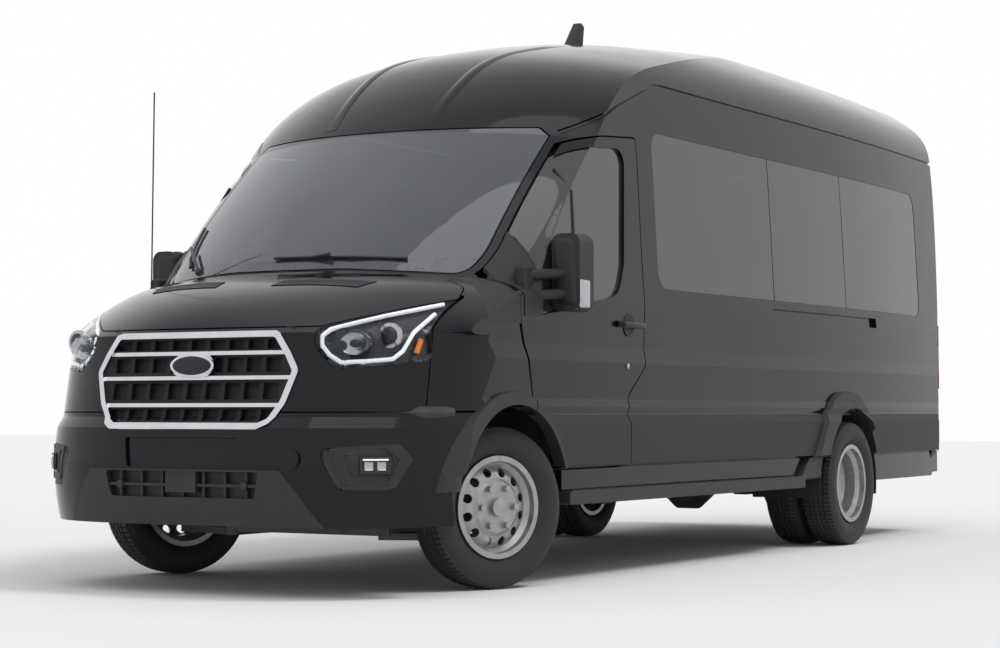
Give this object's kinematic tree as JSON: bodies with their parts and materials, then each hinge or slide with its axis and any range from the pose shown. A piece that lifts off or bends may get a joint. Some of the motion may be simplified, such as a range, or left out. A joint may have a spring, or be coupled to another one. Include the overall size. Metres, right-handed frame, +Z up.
{
  "type": "minibus",
  "caption": "High-roof long minibus with twin rear wheels, hinged cab and rear doors, lifting hood, steered front wheels and rows of seats.",
  "frame": {"origin": "on the ground, midway along the overall length, on the centre line", "axes": "+Z up, the front faces -Y, the vehicle's left side is +X"},
  "size_m": [2.36, 6.73, 2.8684],
  "materials": {
    "black_paint": "gloss",
    "black_trim": "fine grained",
    "grille_chrome": "bright",
    "clear_lens": "clear",
    "red_lens": "gloss",
    "clear_glass": "clear",
    "dark_glass": "privacy tint",
    "chassis_metal": "satin",
    "cast_metal": "matt",
    "cabin_plastic": "matt",
    "seat_cloth": "woven",
    "tyre_rubber": "matt",
    "wheel_steel": "silver paint"
  },
  "bodies": {
    "van_body": {"body_side_left": "black_paint", "body_side_right": "black_paint", "sliding_door": "black_paint", "roof_panel": "black_paint", "fender_left": "black_paint", "fender_right": "black_paint", "front_fascia": "black_paint", "front_bumper": "black_paint", "bumper_valance": "black_trim", "grille": "grille_chrome", "grille_mesh": "black_trim", "front_lamps": "clear_lens", "windscreen": "clear_glass", "cowl": "black_trim", "sail_panels": "black_trim", "side_glass_left": "dark_glass", "side_glass_right": "dark_glass", "arch_trims": "black_trim", "running_boards": "black_trim", "rear_bumper": "black_trim", "tail_lamps": "red_lens", "floor_pan": "chassis_metal", "chassis_frame": "chassis_metal", "front_suspension": "cast_metal", "underbody": "chassis_metal", "engine_block": "cast_metal", "rear_axle": "cast_metal", "dashboard": "cabin_plastic", "front_seats": "seat_cloth", "rear_seats": "seat_cloth", "aerials": "black_trim", "wipers": "black_trim"},
    "hood": {"hood": "black_paint"},
    "front_door_left": {"front_door_left": "black_paint", "front_door_glass_left": "clear_glass", "mirror_left": "black_trim", "door_arch_trim_left": "black_trim"},
    "front_door_right": {"front_door_right": "black_paint", "front_door_glass_right": "clear_glass", "mirror_right": "black_trim", "door_arch_trim_right": "black_trim"},
    "rear_door_left": {"rear_door_left": "black_paint", "rear_door_glass_left": "dark_glass"},
    "rear_door_right": {"rear_door_right": "black_paint", "rear_door_glass_right": "dark_glass"},
    "knuckle_left": {"knuckle_left": "cast_metal"},
    "knuckle_right": {"knuckle_right": "cast_metal"},
    "wheel_front_left": {"tyre_front_left": "tyre_rubber", "rim_front_left": "wheel_steel"},
    "wheel_front_right": {"tyre_front_right": "tyre_rubber", "rim_front_right": "wheel_steel"},
    "wheels_rear_left": {"tyres_rear_left": "tyre_rubber", "rims_rear_left": "wheel_steel"},
    "wheels_rear_right": {"tyres_rear_right": "tyre_rubber", "rims_rear_right": "wheel_steel"}
  },
  "joints": [
    {"name": "steer_left", "type": "hinge", "parent": "van_body", "child": "knuckle_left", "pos_m": [0.79, -2.329, 0.3485], "axis": [0, 0, 1], "range_deg": [-14.6, 55.4]},
    {"name": "steer_right", "type": "hinge", "parent": "van_body", "child": "knuckle_right", "pos_m": [-0.79, -2.329, 0.3485], "axis": [0, 0, 1], "range_deg": [-14.6, 55.4]},
    {"name": "spin_front_left", "type": "hinge", "parent": "knuckle_left", "child": "wheel_front_left", "pos_m": [0.86123, -2.35549, 0.3485], "axis": [0.9373, -0.3486, 0], "continuous": true},
    {"name": "spin_front_right", "type": "hinge", "parent": "knuckle_right", "child": "wheel_front_right", "pos_m": [-0.86123, -2.30251, 0.3485], "axis": [0.9373, -0.3486, 0], "continuous": true},
    {"name": "spin_rear_left", "type": "hinge", "parent": "van_body", "child": "wheels_rear_left", "pos_m": [0.834, 1.421, 0.3485], "axis": [1, 0, 0], "continuous": true},
    {"name": "spin_rear_right", "type": "hinge", "parent": "van_body", "child": "wheels_rear_right", "pos_m": [-0.834, 1.421, 0.3485], "axis": [1, 0, 0], "continuous": true},
    {"name": "front_door_left_hinge", "type": "hinge", "parent": "van_body", "child": "front_door_left", "pos_m": [1.05, -2.34, 1.2], "axis": [0, 0, -1], "range_deg": [0, 68]},
    {"name": "front_door_right_hinge", "type": "hinge", "parent": "van_body", "child": "front_door_right", "pos_m": [-1.05, -2.34, 1.2], "axis": [0, 0, 1], "range_deg": [0, 68]},
    {"name": "rear_door_left_hinge", "type": "hinge", "parent": "van_body", "child": "rear_door_left", "pos_m": [0.905, 3.23, 1.4], "axis": [0, 0, -1], "range_deg": [0, 180]},
    {"name": "rear_door_right_hinge", "type": "hinge", "parent": "van_body", "child": "rear_door_right", "pos_m": [-0.905, 3.23, 1.4], "axis": [0, 0, 1], "range_deg": [0, 180]},
    {"name": "hood_hinge", "type": "hinge", "parent": "van_body", "child": "hood", "pos_m": [0, -2.59, 1.378], "axis": [-1, 0, 0], "range_deg": [0, 58]}
  ],
  "couplings": [
    {"joint": "steer_right", "follows": "steer_left", "ratio": 1}
  ]
}
